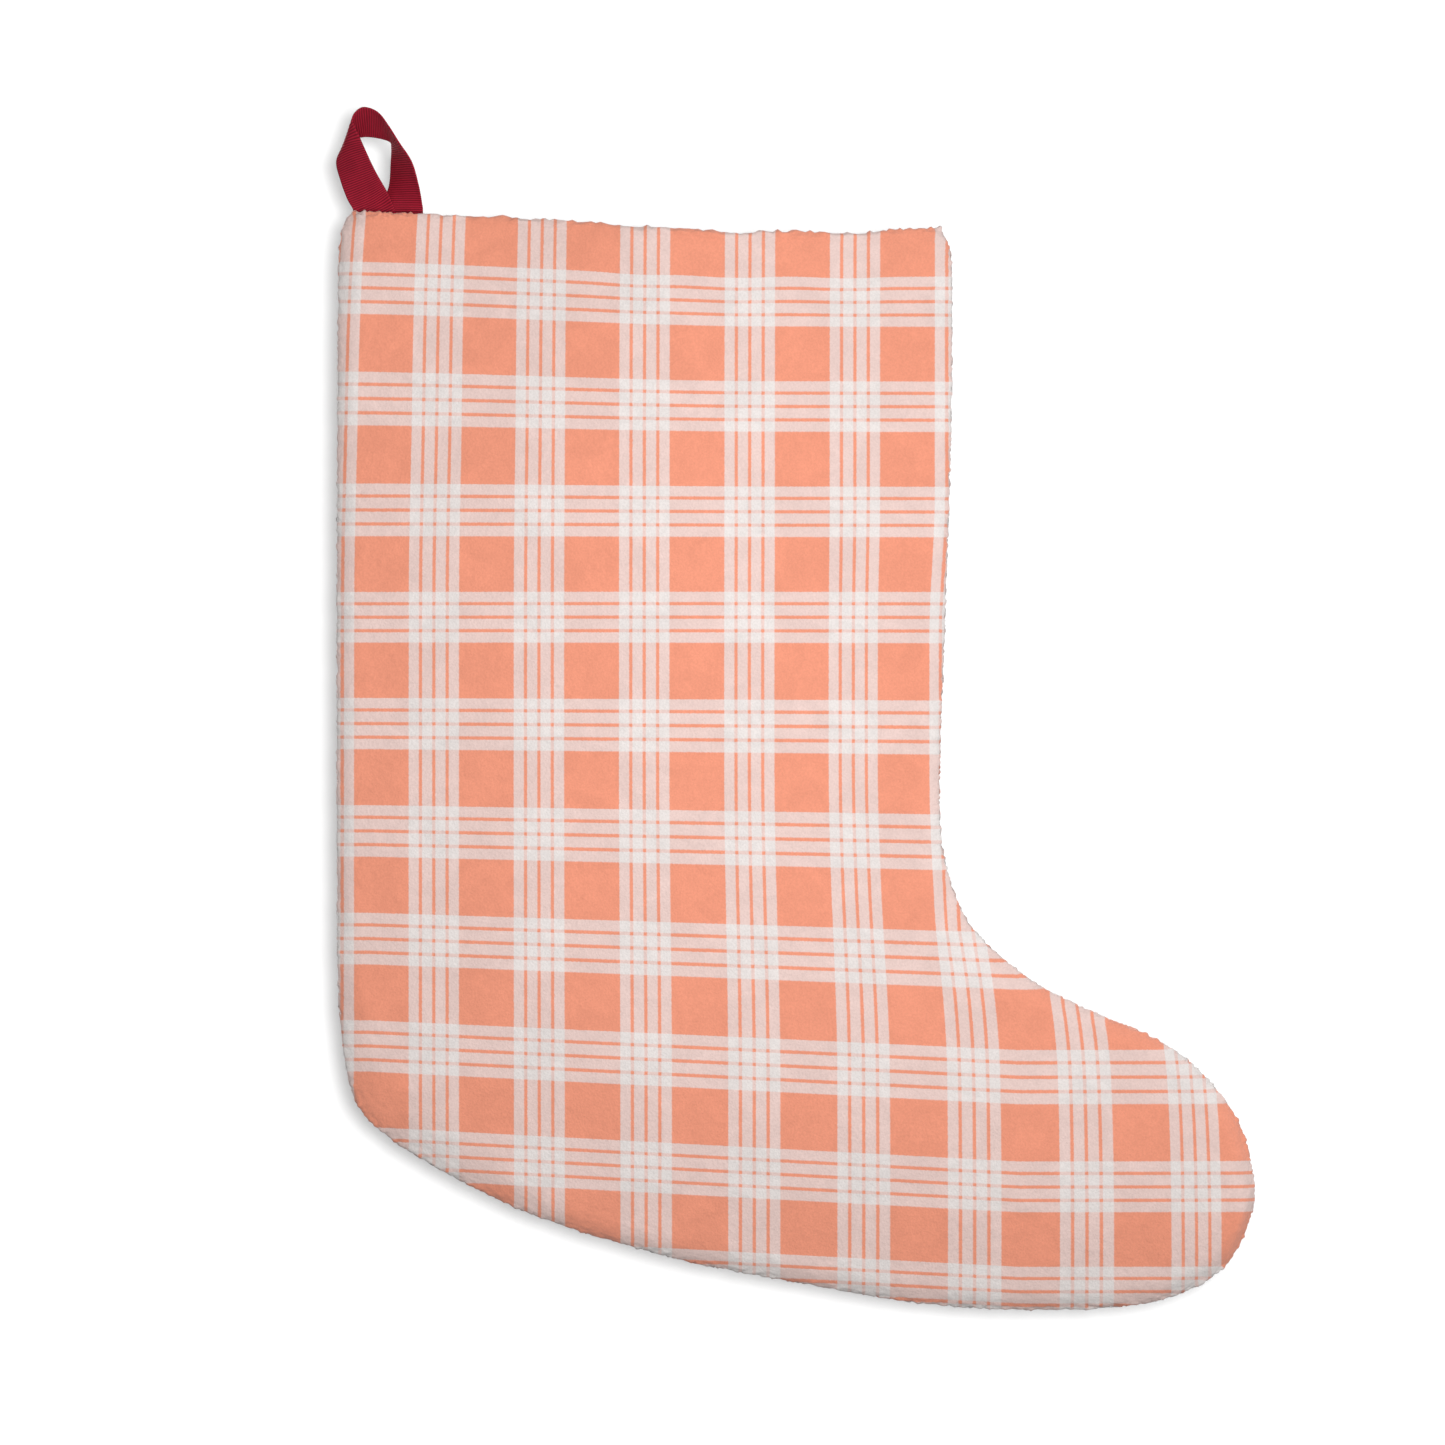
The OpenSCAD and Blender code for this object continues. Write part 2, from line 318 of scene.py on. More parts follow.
def rows(first, last, step, extra=()):
    """Rows about step apart, from u = first to u = last, plus the extra ones near the mouth."""
    u = np.linspace(first, last, 900)
    along = (lengths(cut_edge(u)) + lengths(cut_edge(LAST - u))) / 2
    even = np.interp(np.arange(0, along[-1], step), along, u)
    return np.unique(np.concatenate([even, [last], np.asarray(extra, float)]))


def columns(fine, coarse):
    """Fractions from 0 to 1 that lie fine apart at both seams and coarse apart in the middle."""
    x = [0.0]
    while x[-1] < half_leg:
        x.append(x[-1] + mix(fine, coarse, step01((x[-1] - 12) / 25)))
    left = np.array(x) / x[-1] / 2
    return np.concatenate([left, 1 - left[-2::-1]])


# ---- Meshes ----

def make_mesh(name, points, faces):
    """Smooth object from points in millimetres. Its faces are lists of corner numbers."""
    me = bpy.data.meshes.new(name)
    me.from_pydata((np.asarray(points) * MM).tolist(), [], [tuple(map(int, f)) for f in faces])
    me.validate()
    me.update()
    me.polygons.foreach_set("use_smooth", [True] * len(me.polygons))
    obj = bpy.data.objects.new(name, me)
    bpy.context.scene.collection.objects.link(obj)
    return obj


def quads(numbers):
    """Faces between neighbouring corners of a grid of corner numbers."""
    a, b = numbers[:-1, :-1], numbers[1:, :-1]
    c, d = numbers[1:, 1:], numbers[:-1, 1:]
    return np.stack([a, b, c, d], -1).reshape(-1, 4).tolist()


def store(obj, name, values):
    """Keeps two or three numbers for each vertex, for the material to read."""
    values = np.asarray(values, float)
    full = np.zeros((len(values), 3), np.float32)
    full[:, :values.shape[1]] = values
    stored = obj.data.attributes.new(name, "FLOAT_VECTOR", "POINT")
    stored.data.foreach_set("vector", full.ravel())


def shell(name, face, back, kept, side):
    """Closed cloth from the grids of its two faces. The back has only the kept rows of the face."""
    n_rows, n_cols = face.shape[:2]
    f = np.arange(n_rows * n_cols).reshape(n_rows, n_cols)
    b = np.arange(len(kept) * n_cols).reshape(len(kept), n_cols) + f.size
    faces = quads(f) + quads(b[:, ::-1])
    faces += quads(np.stack([b[0], f[0]]))
    faces += quads(np.stack([f[-1], b[-1]]))
    for i, (top, low) in enumerate(zip(kept[:-1], kept[1:])):
        faces.append([*f[top:low + 1, 0][::-1], b[i, 0], b[i + 1, 0]])
        faces.append([*f[top:low + 1, -1], b[i + 1, -1], b[i, -1]])
    if side == BACK:
        faces = [corners[::-1] for corners in faces]
    points = np.concatenate([face.reshape(-1, 3), back.reshape(-1, 3)])
    return make_mesh(name, points, faces)


def vertex_arrays(obj):
    """Positions in millimetres and normals of a mesh's vertices."""
    me = obj.data
    co = np.zeros(len(me.vertices) * 3)
    me.vertices.foreach_get("co", co)
    normals = np.zeros(len(me.vertices) * 3, np.float32)
    me.vertex_normals.foreach_get("vector", normals)
    return co.reshape(-1, 3) / MM, normals.reshape(-1, 3).astype(float)


def set_points(obj, points):
    obj.data.vertices.foreach_set("co", (points * MM).ravel())
    obj.data.update()


# ---- Plush panels and linings ----

# Extra rows next to the mouth edge, where the cloth rolls over.
lip_rows = [0.02, 0.045, 0.08, 0.12, 0.17, 0.23, 0.3, 0.38, 0.46, 0.55, 0.64]


def print_at(p):
    """Place on the plaid print in millimetres. The cloth hangs a little out of line with its print: it
    leans out near the loop and along the foot, is pulled in at the instep, and sinks towards the sole."""
    x, z = p[..., 0], p[..., 2]
    from_loop = np.exp(-(x + 4) / 55 - np.maximum(0, -mouth_drop - z) / 45)
    top_left = step01((110 - x) / 80) * step01((190 + z) / 80)
    foot = step01((-z - 260) / 130) * np.clip((x - 40) / 300, 0, 0.95) ** 2
    below_instep = -0.887 * z - 0.461 * x - 180  # square to the slope of the instep
    from_instep = np.hypot(np.maximum(0, 244 - x), np.maximum(0, below_instep))
    pull = np.exp(-from_instep / 25) * step01((-z - 150) / 60)
    lean = 12.2 * foot + 4.4 * from_loop + 0.9 * top_left - 3.5 * pull - 1.1
    hang = step01((-z - 190) / 250) * (3.9 + 14.1 * np.clip(x / 270, 0, 1))
    lift = 6.4 * step01((165 - x) / 190) * step01((190 + z) / 150)
    return np.stack([x - lean, -z - hang + lift], -1)


def pile_lift(points, near_edge):
    """Height of the pile over the cloth: fine tufts everywhere, and longer round ones along the edges."""
    tufts = 0.65 * noise(points, 1.7, 3) + 0.35 * noise(points, 1.1, 4)
    locks = np.abs(noise(points, 2.1, 6))
    clumps = noise(points, 6, 5)
    return mix(0.15 * tufts + 0.1 * clumps, 0.1 + 1.1 * locks + 0.45 * tufts, near_edge)


def mouth_hang(points):
    """How far the cloth hangs down along the mouth edge, less and less below it."""
    x, below = points[:, 0], -mouth_drop - points[:, 2]
    middle = step01((x - 80) / 45) * step01((242 - x) / 35)
    waves = 1.3 + 0.6 * np.cos(2 * np.pi * (x - 152) / 46)
    return 0.6 * (1 - step01(below / 8)) + middle * waves * (1 - step01(below / 55))


def plush_panel(name, side):
    """One panel with its pile. Its inner face has every row near the mouth, and each sixth below."""
    u = rows(0, TOE - 0.03, 0.75, lip_rows)
    kept = [i for i, row in enumerate(u) if row < 1 or i % 6 == 0 or i == len(u) - 1]
    u_all, t_all = np.broadcast_arrays(u[:, None], columns(0.6, 2.0))
    face = plush_face(u_all, t_all, side)
    back = plush_back(u_all[kept], t_all[kept], side)
    obj = shell(name, face, back, kept, side)
    points, normals = vertex_arrays(obj)
    printed = print_at(points)
    hang = mouth_hang(points)

    # The pile is longer along the seams and the mouth, and pressed down in the seams themselves.
    n_face = u_all.size
    height = np.abs(points[:n_face, 1])
    at_side = 1 - step01((height - 1.5) / 4)
    at_mouth = 1 - step01((depth(u_all, t_all).ravel() - 0.5) / 3)
    near_edge = np.zeros(len(points))
    near_edge[:n_face] = np.maximum(at_side, 1.6 * at_mouth)
    lift = pile_lift(points, near_edge)
    lift[:n_face] -= 0.55 * np.exp(-(height / 0.9) ** 2)
    lift[n_face:] *= 0.5 * (depth(u_all[kept], t_all[kept]).ravel() < 3)
    points += normals * lift[:, None]
    points[:, 2] -= hang
    set_points(obj, points)
    store(obj, "print", printed)
    return obj


def lining_sheet(name, side):
    """One half of the lining bag."""
    u = rows(0.7, TOE - 0.2, 4)
    u_all, t_all = np.broadcast_arrays(u[:, None], columns(2, 6))
    face = layer(u_all, t_all, lining_inset, lining_y, 4, side)
    back = layer(u_all, t_all, lining_inset + lining_t, inside_gap, 3.2, side)
    obj = shell(name, face, back, list(range(len(u))), side)
    points, _ = vertex_arrays(obj)
    store(obj, "weave", points[:, [0, 2]])
    return obj


# ---- Strips: the ribbon and the label ----

def near_mouth(x, d, h, side=FRONT):
    """Row frame point of a piece near the mouth: x from the back of the leg and d below the mouth edge."""
    start, end = cut_edge(np.array([0.0, LAST]))
    x, d, h = np.broadcast_arrays(*(np.asarray(v, float) for v in (x, d, h)))
    t = np.clip((x - start[0]) / (end[0] - start[0]), 0, 1)
    zero = np.zeros_like(t)
    edge = (across(zero, t) + dip(zero, t))[..., 1]
    hump = bow_at(zero + 0.5, t)
    p = np.stack([x, edge + d], -1)
    return place(p, h + hump + slack_at(p, side, hump / bow), side)


def band_mesh(name, middle, normals, thick, shape):
    """Closed band from a grid of middle points, with shape(row, column) as extra thickness each way."""
    half = (thick / 2 + shape)[..., None] * normals
    upper, lower = middle + half, middle - half
    a = np.arange(middle[..., 0].size).reshape(middle.shape[:2])
    b = a + a.size
    faces = quads(a) + quads(b[:, ::-1])
    faces += quads(np.stack([b[0], a[0]])) + quads(np.stack([a[-1], b[-1]]))
    faces += quads(np.stack([b[:, 0], a[:, 0]], 1)) + quads(np.stack([a[:, -1], b[:, -1]], 1))
    return make_mesh(name, np.concatenate([upper.reshape(-1, 3), lower.reshape(-1, 3)]), faces)


def store_weave(obj, x, y):
    """Keeps the place on the weave for both faces of a band."""
    weave = np.stack(np.broadcast_arrays(x, y), -1).reshape(-1, 2)
    store(obj, "weave", np.concatenate([weave, weave]))


def grid_normals(middle):
    """Directions square to a band at each point of its grid."""
    return unit(np.cross(np.gradient(middle, axis=0), np.gradient(middle, axis=1)))


def ribbon_tail(end, v):
    """Grid of the sewn-in part of one ribbon end, from the mouth edge down."""
    side = -1 if end == 0 else 1
    path = curve(TAIL_PATH, np.linspace(0, len(TAIL_PATH) - 1, 29))
    x = ribbon_ends_in[end] + (0.5 - v) * ribbon_w
    return near_mouth(x[None, :], path[:, :1], path[:, 1:] + side * layer_y, BACK)


def ribbon_band():
    """The whole ribbon, from one sewn-in end over the hook to the other, and its length."""
    samples_per_rib = 7
    v = np.linspace(0, 1, 27)
    edges = curve(RIBBON, np.linspace(0, len(RIBBON) - 1, 160))
    loop = mix(edges[:, :1], edges[:, 1:], v[None, :, None])
    rough = np.concatenate([ribbon_tail(0, v)[::-1], loop, ribbon_tail(1, v)])
    run = lengths(rough.mean(axis=1))
    ribs = round(run[-1] / rib_pitch)
    s = np.linspace(0, run[-1], ribs * samples_per_rib + 1)

    # The cloth is pulled askew on the front strand, so its ribs lie across the strand's own slope.
    askew = np.interp(s, [0, 14, 22, 36, 50, 66], [0, -0.42, -0.42, 0, 0.42, 0])
    at = s[:, None] + askew[:, None] * (v[None, :] - 0.5) * ribbon_w
    middle = np.stack([along_line(at[:, j], run, rough[:, j]) for j in range(len(v))], 1)
    for _ in range(6):  # smooths the cloth along its length
        middle[1:-1] = (middle[:-2] + 2 * middle[1:-1] + middle[2:]) / 4
    normals = grid_normals(middle)

    # Its free part is cupped across its width, and its edges follow the ribs in and out.
    free = step01((middle[..., 2].mean(axis=1) - hinge_z) / 12)
    cup = 0.3 * (1 - (2 * v - 1) ** 2)
    middle = middle + (free[:, None] * cup[None, :])[..., None] * normals
    rib = np.cos(2 * np.pi * s / run[-1] * ribs)[:, None]
    selvedge = np.abs(2 * v - 1) > 0.9
    shape = np.where(selvedge[None, :], selvedge_h + 0.03 * rib, rib_h * rib)
    middle[:, [0, -1]] += 0.04 * rib[..., None] * (middle[:, [0, -1]] - middle[:, [1, -2]])
    obj = band_mesh("ribbon_band", middle, normals, ribbon_t, shape)
    store_weave(obj, s[:, None] / run[-1] * ribs, v[None, :] * ribbon_w)
    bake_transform(obj)
    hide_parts("hanging_loop", "loop_ends")
    return obj, run[-1]


def label_tape():
    """The folded label, from its free end to its sewn-in end, and its length."""
    free = [[label_hinge[0] + 0.65 + label_h * f, label_hinge[1]] for f in (1, 0.75, 0.5, 0.25, 0)]
    path = curve(free + LABEL_PATH, np.linspace(0, len(free) + len(LABEL_PATH) - 1, 90))
    v = np.linspace(-0.5, 0.5, 25)
    middle = near_mouth(label_in + v[None, :] * label_w, path[:, :1], path[:, 1:], BACK)
    obj = band_mesh("care_label_tape", middle, grid_normals(middle), label_t, np.zeros(middle.shape[:2]))
    run = lengths(middle.mean(axis=1))
    store_weave(obj, v[None, :] * label_w, run[:, None])
    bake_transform(obj)
    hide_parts("care_label", "label_ends")
    return obj, run[-1]


# ---- Stitches ----

def stitches(name, lines, pitch, r):
    """Rows of thread stitches along lines of points. Each stitch dives into the cloth at its ends.
    Each line is its points and their directions into the cloth."""
    rings, around, sink = 6, 7, 0.5
    f = np.linspace(-1, 1, rings)
    size = r * (1 - 0.45 * f ** 6)
    angles = (np.arange(around) * 2 * np.pi / around)[:, None]
    points, faces = [], []
    for line, down in lines:
        run = lengths(line)
        count = int(run[-1] / pitch)
        for i in range(count):
            s = (i + np.linspace(0.06, 0.94, rings)) * (run[-1] / count)
            d = along_line(s, run, down)
            mid = along_line(s, run, line) + sink * (f ** 4)[:, None] * d
            along = unit(np.gradient(mid, axis=0))
            side = unit(np.cross(along, d))
            up = np.cross(side, along)
            circles = np.cos(angles) * side[:, None] + np.sin(angles) * up[:, None]
            ring = np.arange(rings * around).reshape(rings, around) + len(points) * rings * around
            points.append(mid[:, None] + size[:, None, None] * circles)
            faces += quads(np.concatenate([ring, ring[:, :1]], axis=1))
            faces += [ring[0].tolist(), ring[-1][::-1].tolist()]
    return make_mesh(name, np.array(points).reshape(-1, 3), faces)


def seam_line(inset, start):
    """Line round the cut edge from one side of the mouth to the other."""
    u = np.linspace(start, LAST - start, 500)
    line = place(inset_edge(u, inset), 0 * u, FRONT)
    n = inward(u)
    return [(line, np.stack([n[:, 0], 0 * u, -n[:, 1]], -1))]


def mouth_lines():
    """A line across each half, just below the turned-in plush."""
    x = np.linspace(9, 246, 240)
    return [(near_mouth(x, 6.75, 2.3, side), np.tile([0.0, -side, 0], (len(x), 1)))
            for side in (FRONT, BACK)]


def tack_line():
    """Zigzag of the bar tack through the ribbon ends."""
    f = np.linspace(0, 1, 400)
    low, high = node_box("loop_bar_tack")
    zig = np.abs((f * 34) % 2 - 1)
    line = mix(low, high, np.stack([f, np.full_like(f, 0.5), zig], -1))
    return [(line, np.tile([0.0, 1, 0], (len(f), 1)))]


# ---- Material nodes ----

class Nodes:
    """Short calls for building one material's node tree."""

    def __init__(self, name):
        self.material = bpy.data.materials.new(name)
        self.material.use_nodes = True
        self.tree = self.material.node_tree
        self.shader = self.tree.nodes["Principled BSDF"]

    def new(self, kind, **settings):
        n = self.tree.nodes.new(kind)
        for key, value in settings.items():
            setattr(n, key, value)
        return n

    def put(self, socket, value):
        if isinstance(value, bpy.types.NodeSocket):
            self.tree.links.new(value, socket)
        else:
            socket.default_value = value

    def math(self, operation, *values):
        n = self.new("ShaderNodeMath", operation=operation)
        for socket, value in zip(n.inputs, values):
            self.put(socket, value)
        return n.outputs[0]

    def attribute(self, name):
        """The stored x and y of a piece."""
        a = self.new("ShaderNodeAttribute", attribute_name=name)
        xyz = self.new("ShaderNodeSeparateXYZ")
        self.put(xyz.inputs[0], a.outputs["Vector"])
        return xyz.outputs[0], xyz.outputs[1]

    def place(self):
        return self.new("ShaderNodeTexCoord").outputs["Object"]

    def noise(self, size_mm, detail=2.0, roughness=0.5, distortion=0.0):
        n = self.new("ShaderNodeTexNoise")
        self.put(n.inputs["Vector"], self.place())
        n.inputs["Scale"].default_value = 1 / (size_mm * MM)
        n.inputs["Detail"].default_value = detail
        n.inputs["Roughness"].default_value = roughness
        n.inputs["Distortion"].default_value = distortion
        return n.outputs["Fac"]

    def spread(self, value, low, high, from_low=0.3, from_high=0.7):
        n = self.new("ShaderNodeMapRange", interpolation_type="SMOOTHSTEP")
        self.put(n.inputs["Value"], value)
        for socket, v in zip(n.inputs[1:5], (from_low, from_high, low, high)):
            socket.default_value = v
        return n.outputs["Result"]

    def blend(self, factor, a, b):
        n = self.new("ShaderNodeMix", data_type="RGBA")
        sockets = [s for s in n.inputs if s.enabled]
        for socket, value in zip(sockets, (factor, a, b)):
            if isinstance(value, tuple):
                value = (*value, 1.0)
            self.put(socket, value)
        return next(s for s in n.outputs if s.enabled)

    def scale(self, colour, factor):
        """A colour made lighter or darker by a number."""
        n = self.new("ShaderNodeVectorMath", operation="SCALE")
        self.put(n.inputs[0], colour)
        self.put(n.inputs["Scale"], factor)
        return n.outputs[0]

    def bump(self, height, distance_mm, strength=1.0, over=None):
        n = self.new("ShaderNodeBump")
        n.inputs["Strength"].default_value = strength
        n.inputs["Distance"].default_value = distance_mm * MM
        self.put(n.inputs["Height"], height)
        if over is not None:
            self.put(n.inputs["Normal"], over)
        return n.outputs[0]

    def finish(self, colour, normal, **values):
        self.put(self.shader.inputs["Base Color"], colour)
        self.put(self.shader.inputs["Normal"], normal)
        for name, value in values.items():
            socket = name.replace("_", " ").title().replace("Ior", "IOR")
            self.shader.inputs[socket].default_value = value
        return self.material


# The plaid print: bands of four white bars that overlap where they cross.
PRINT_PITCH = 43.75
BAR_PITCH = 5.57
BAR_HALF = 2.14
BAR_SOFT = 0.3
BARS = 4
PRINT_START = (17.4, 189.6)


def bars(n, coordinate, start):
    """1 on the white bars that run across this coordinate, and 0 between them."""
    in_repeat = n.math("FLOORED_MODULO", n.math("SUBTRACT", coordinate, start), PRINT_PITCH)
    in_band = n.math("LESS_THAN", in_repeat, BAR_PITCH * BARS)
    off_bar = n.math("SUBTRACT", n.math("FLOORED_MODULO", in_repeat, BAR_PITCH), BAR_HALF)
    on_bar = n.spread(n.math("ABSOLUTE", off_bar), 1.0, 0.0, BAR_HALF - BAR_SOFT, BAR_HALF + BAR_SOFT)
    return n.math("MULTIPLY", in_band, on_bar)


def plush_material():
    n = Nodes("plaid_plush")
    x, y = n.attribute("print")
    ragged = n.math("MULTIPLY", n.math("SUBTRACT", n.noise(0.9), 0.5), 0.45)
    vertical = bars(n, n.math("ADD", x, ragged), PRINT_START[0])
    level = bars(n, n.math("SUBTRACT", y, ragged), PRINT_START[1])
    both = n.math("MULTIPLY", vertical, level)
    either = n.math("SUBTRACT", n.math("ADD", vertical, level), both)
    colour = n.blend(either, (0.84, 0.304, 0.19), (0.78, 0.585, 0.54))
    colour = n.blend(both, colour, (0.778, 0.722, 0.7))
    mottle = n.spread(n.noise(13, detail=4, roughness=0.6, distortion=0.8), 0.95, 1.03)
    grain = n.spread(n.noise(0.8, detail=2), 0.95, 1.035)
    colour = n.scale(colour, n.math("MULTIPLY", mottle, grain))
    clumps = n.bump(n.noise(3.2, detail=3, roughness=0.6), 0.5, 0.5)
    tufts = n.bump(n.noise(0.9, detail=2), 0.35, 0.6, over=clumps)
    return n.finish(colour, tufts, roughness=0.95, specular_ior_level=0.1, sheen_weight=0.36,
                    sheen_roughness=0.6)


def weave_bump(n, x, y, pitch, height):
    """Normal of a plain weave with that thread pitch in millimetres, and a value for its crossings."""
    over = n.math("SINE", n.math("MULTIPLY", x, 2 * math.pi / pitch))
    under = n.math("SINE", n.math("MULTIPLY", y, 2 * math.pi / pitch))
    return n.bump(n.math("ABSOLUTE", n.math("ADD", over, under)), height), n.math("MULTIPLY", over, under)


def lining_material():
    n = Nodes("lining_cloth")
    x, y = n.attribute("weave")
    normal, crossing = weave_bump(n, x, y, 0.9, 0.12)
    mottle = n.spread(n.noise(20, detail=3), 0.96, 1.02)
    tone = n.math("MULTIPLY", mottle, n.spread(crossing, 0.97, 1.03, -1, 1))
    colour = n.scale((0.84, 0.82, 0.78), tone)
    return n.finish(colour, normal, roughness=0.8, specular_ior_level=0.3)


def thread_material():
    n = Nodes("sewing_thread")
    twist = n.noise(0.5, detail=3, distortion=1.5)
    colour = n.blend(twist, (0.78, 0.6, 0.5), (0.9, 0.78, 0.7))
    return n.finish(colour, n.bump(twist, 0.1), roughness=0.65, specular_ior_level=0.35)


def ribbon_material():
    n = Nodes("grosgrain_ribbon")
    ribs, side = n.attribute("weave")
    crest = n.math("COSINE", n.math("MULTIPLY", ribs, 2 * math.pi))
    floats = n.math("COSINE", n.math("MULTIPLY", side, 2 * math.pi / float_pitch))
    # Painted shade and highlight: the rib valleys get a darker red and the rib crests a lighter red,
    # standing in for the shade and light on the ribs.
    rib_shade_and_highlight = n.blend(n.spread(crest, 0.0, 1.0, -1, 1), (0.17, 0.0065, 0.0165), (0.43, 0.016, 0.0405))
    mottle = n.spread(n.noise(6, detail=3), 0.93, 1.06)
    tone = n.math("MULTIPLY", mottle, n.spread(floats, 0.95, 1.04, -1, 1))
    normal = n.bump(floats, 0.03, 0.7)
    return n.finish(n.scale(rib_shade_and_highlight, tone), normal, roughness=0.68, specular_ior_level=0.1)


def label_material():
    n = Nodes("satin_label")
    x, y = n.attribute("weave")
    normal, crossing = weave_bump(n, x, y, 0.5, 0.03)
    mottle = n.spread(n.noise(8, detail=2), 0.97, 1.01)
    tone = n.math("MULTIPLY", mottle, n.spread(crossing, 0.98, 1.02, -1, 1))
    colour = n.scale((0.86, 0.86, 0.85), tone)
    return n.finish(colour, normal, roughness=0.35, specular_ior_level=0.5)


def paint(obj, material):
    obj.data.materials.clear()
    obj.data.materials.append(material)


# ---- Stage: camera, lights, wall and floor ----

low, high = cad_box
view_centre = (low + high) / 2 + Vector((-0.030, 0, -0.006))
view_centre.y = 0
view_width = 0.6017
lens, sensor = 300, 36
camera_far = view_width * lens / sensor
wall_y = 0.46
floor_z = low.z - 0.26

# Shares of the light: 1 lights a white surface that faces the camera to full white.
KEY, SIDE, BEHIND, DOME = 0.63, 0.29, 0.75, 0.56
DOME_FROM = Vector((0.15, -0.8, 0.3)).normalized()
WALL_TONE, WALL_GLOW, WALL_KEY = 0.2, 0.42, 3.0
FLOOR_GLOW = 0.35


def aim(obj, at, target):
    obj.location = at
    obj.rotation_euler = (Vector(target) - Vector(at)).to_track_quat("-Z", "Y").to_euler()


def link_object(name, data):
    obj = bpy.data.objects.new(name, data)
    bpy.context.scene.collection.objects.link(obj)
    return obj


def make_camera():
    data = bpy.data.cameras.new("camera")
    data.lens, data.sensor_width = lens, sensor
    data.clip_end = 100
    camera = link_object("camera", data)
    aim(camera, view_centre - Vector((0, camera_far, 0)), view_centre)
    bpy.context.scene.camera = camera


def area_light(name, offset, size, share):
    """Round light at that offset from the middle of the view, which it lights with that share."""
    data = bpy.data.lights.new(name, "AREA")
    data.shape, data.size = "DISK", size
    data.energy = share * (math.pi * offset.length) ** 2
    light = link_object(name, data)
    light.visible_camera = False
    aim(light, view_centre + offset, view_centre)
    return light


def stage_plane(name, at, rotation):
    bpy.ops.mesh.primitive_plane_add(size=30, location=at, rotation=rotation)
    plane = bpy.context.object
    plane.name = name
    return plane


def wall_material():
    """White wall that shows only from its front, so that a view from behind isn't blocked."""
    m = bpy.data.materials.new("wall_white")
    m.use_nodes = True
    tree = m.node_tree
    tree.nodes.clear()
    made = {k: tree.nodes.new(f"ShaderNode{k}") for k in
            ("BsdfDiffuse", "Emission", "AddShader", "BsdfTransparent", "NewGeometry", "MixShader",
             "OutputMaterial")}
    made["BsdfDiffuse"].inputs["Color"].default_value = (WALL_TONE, WALL_TONE, WALL_TONE, 1)
    made["Emission"].inputs["Strength"].default_value = WALL_GLOW
    link = tree.links.new
    link(made["BsdfDiffuse"].outputs[0], made["AddShader"].inputs[0])
    link(made["Emission"].outputs[0], made["AddShader"].inputs[1])
    link(made["NewGeometry"].outputs["Backfacing"], made["MixShader"].inputs[0])
    link(made["AddShader"].outputs[0], made["MixShader"].inputs[1])
    link(made["BsdfTransparent"].outputs[0], made["MixShader"].inputs[2])
    link(made["MixShader"].outputs[0], made["OutputMaterial"].inputs[0])
    return m


def make_world():
    """White surroundings, brighter towards the upper right of the front."""
    world = bpy.data.worlds.new("studio")
    bpy.context.scene.world = world
    world.use_nodes = True
    nodes, link = world.node_tree.nodes, world.node_tree.links.new
    direction = nodes.new("ShaderNodeTexCoord")
    towards = nodes.new("ShaderNodeVectorMath")
    towards.operation = "DOT_PRODUCT"
    towards.inputs[1].default_value = DOME_FROM
    link(direction.outputs["Generated"], towards.inputs[0])
    dome = nodes.new("ShaderNodeMapRange")
    dome.inputs["From Min"].default_value = -0.6
    dome.inputs["To Min"].default_value = 0.2
    dome.inputs["To Max"].default_value = DOME
    link(towards.outputs["Value"], dome.inputs["Value"])
    path = nodes.new("ShaderNodeLightPath")
    strength = nodes.new("ShaderNodeMix")
    strength.inputs["B"].default_value = 1.0
    link(path.outputs["Is Camera Ray"], strength.inputs["Factor"])
    link(dome.outputs["Result"], strength.inputs["A"])
    link(strength.outputs["Result"], nodes["Background"].inputs["Strength"])
    nodes["Background"].inputs["Color"].default_value = (1, 1, 1, 1)


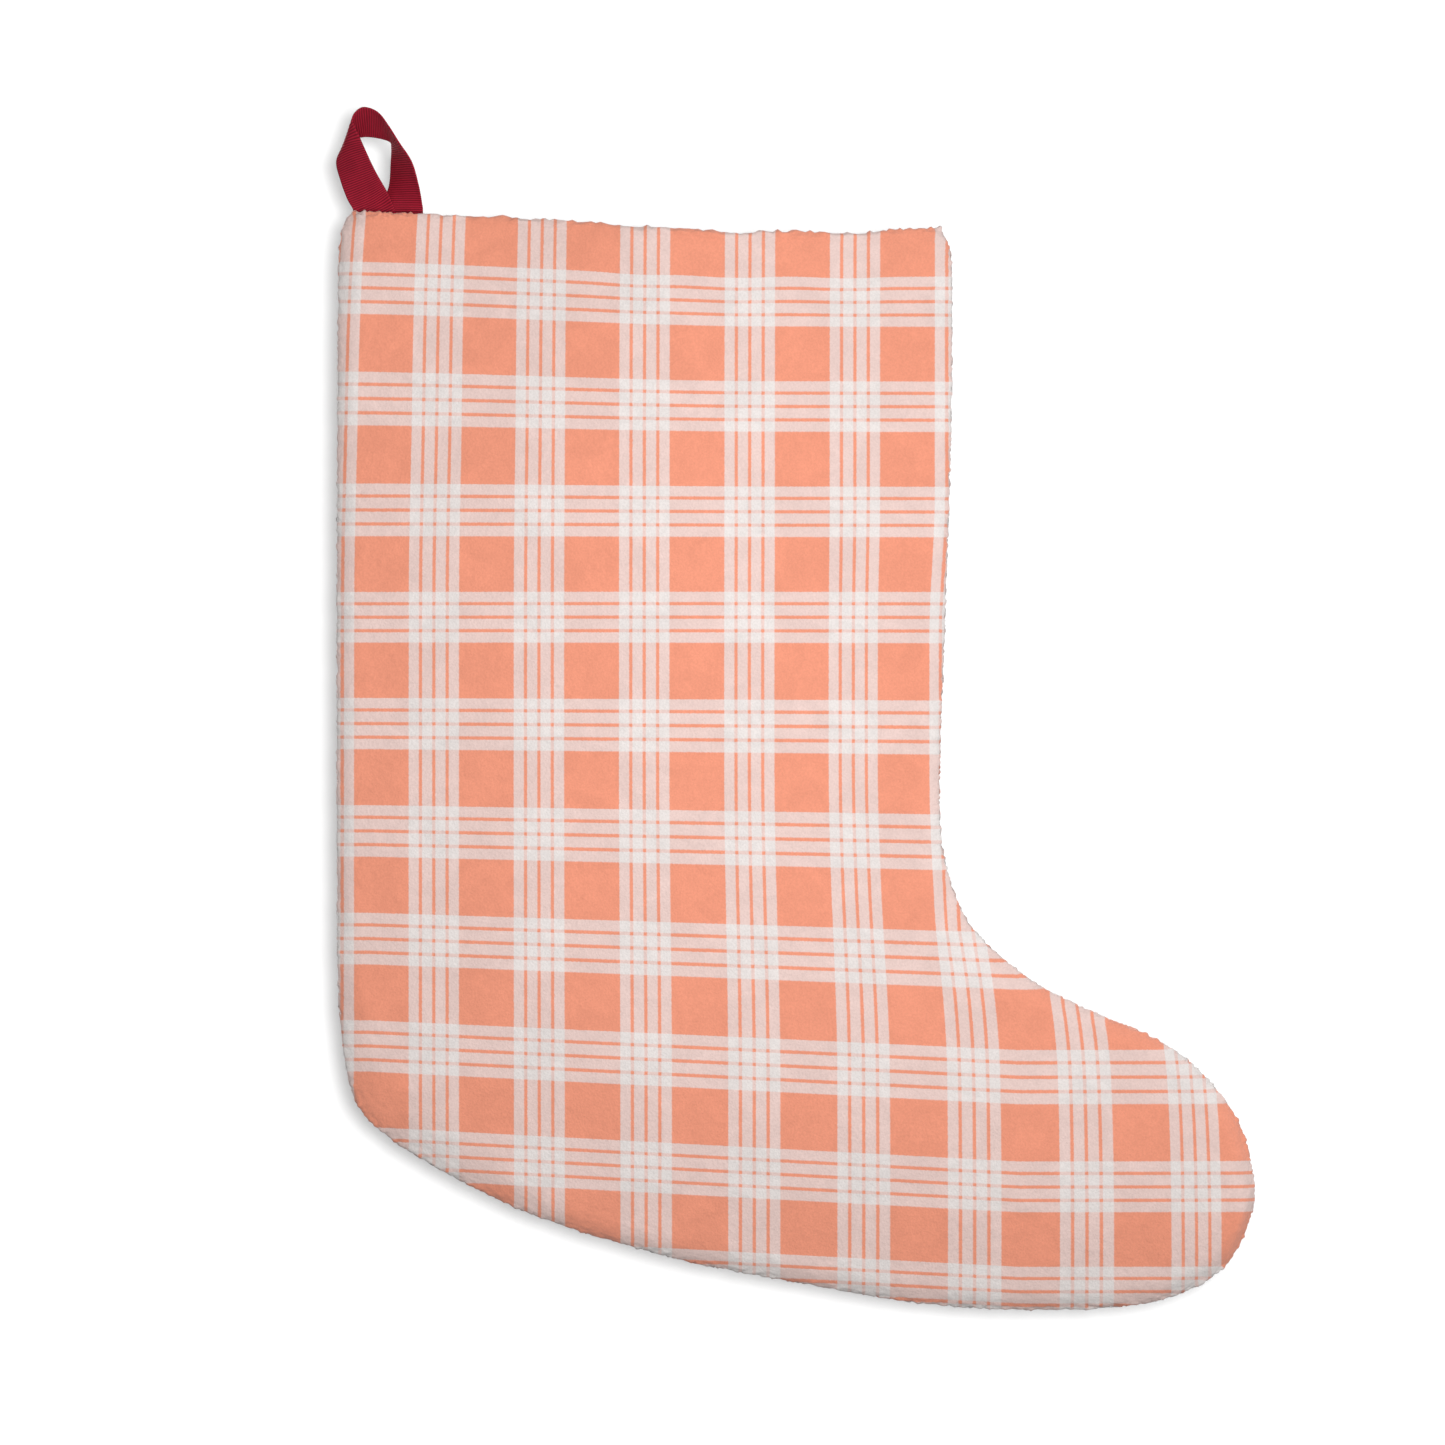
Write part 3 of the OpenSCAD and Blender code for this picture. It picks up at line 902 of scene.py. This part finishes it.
def make_stage():
    wall = stage_plane("wall", (view_centre.x, wall_y, 0), (math.radians(90), 0, 0))
    paint(wall, wall_material())
    wall.visible_diffuse = wall.visible_glossy = wall.visible_shadow = False
    floor = stage_plane("floor", (view_centre.x, 0, floor_z), (0, 0, 0))
    floor.visible_diffuse = False
    pale = Nodes("pale_floor")
    tone = pale.spread(pale.noise(400, detail=2), 0.97, 1.0)
    colour = pale.scale((0.86, 0.86, 0.85), tone)
    paint(floor, pale.finish(colour, pale.bump(pale.noise(5), 0.05), roughness=0.8,
                             emission_color=(1, 1, 1, 1), emission_strength=FLOOR_GLOW))

    # The wall has a key light of its own, beside the camera, for the narrow shadow to the lower left.
    wall_key = area_light("wall_key", Vector((0.044, -camera_far, 0.022)), 0.095, WALL_KEY)
    lit = bpy.data.collections.new("lit_by_wall_key")
    lit.objects.link(wall)
    wall_key.light_linking.receiver_collection = lit
    area_light("key", Vector((0.02, -0.62, 0.08)), 0.4, KEY)
    area_light("soft_right", Vector((2.2, -0.6, 0.3)), 1.2, SIDE)
    area_light("soft_back", Vector((-1.0, 2.2, 1.2)), 1.2, BEHIND)
    make_world()
    bpy.context.scene.view_settings.view_transform = "Standard"
    bpy.context.scene.view_settings.look = "None"


# ---- Assembly ----

make_camera()
make_stage()

plush, lining, thread = plush_material(), lining_material(), thread_material()

for side, word in ((FRONT, "front"), (BACK, "back")):
    panel = plush_panel(f"{word}_panel_plush", side)
    paint(panel, plush)
    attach(panel, "stocking")
    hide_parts(f"{word}_panel")
    sheet = lining_sheet(f"{word}_lining_cloth", side)
    paint(sheet, lining)
    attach(sheet, "stocking")
    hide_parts(f"{word}_lining")

seams = [
    ("panel_seam_stitches", "panel_seam_thread", seam_line(seam_w / 2, 0.2), 2.8, 0.55),
    ("lining_seam_stitches", "lining_seam_thread", seam_line(lining_inset + lining_t / 2, 0.8), 2.5, 0.3),
    ("mouth_seam_stitches", "mouth_seam_thread", mouth_lines(), 3.2, 0.45),
    ("loop_tack_stitches", "loop_bar_tack", tack_line(), 2.2, 0.35),
]
for name, stands_for, lines, pitch, r in seams:
    seam = stitches(name, lines, pitch, r)
    paint(seam, thread)
    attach(seam, "stocking")
    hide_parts(stands_for)

ribbon, ribbon_length = ribbon_band()
paint(ribbon, ribbon_material())

label, label_length = label_tape()
paint(label, label_material())
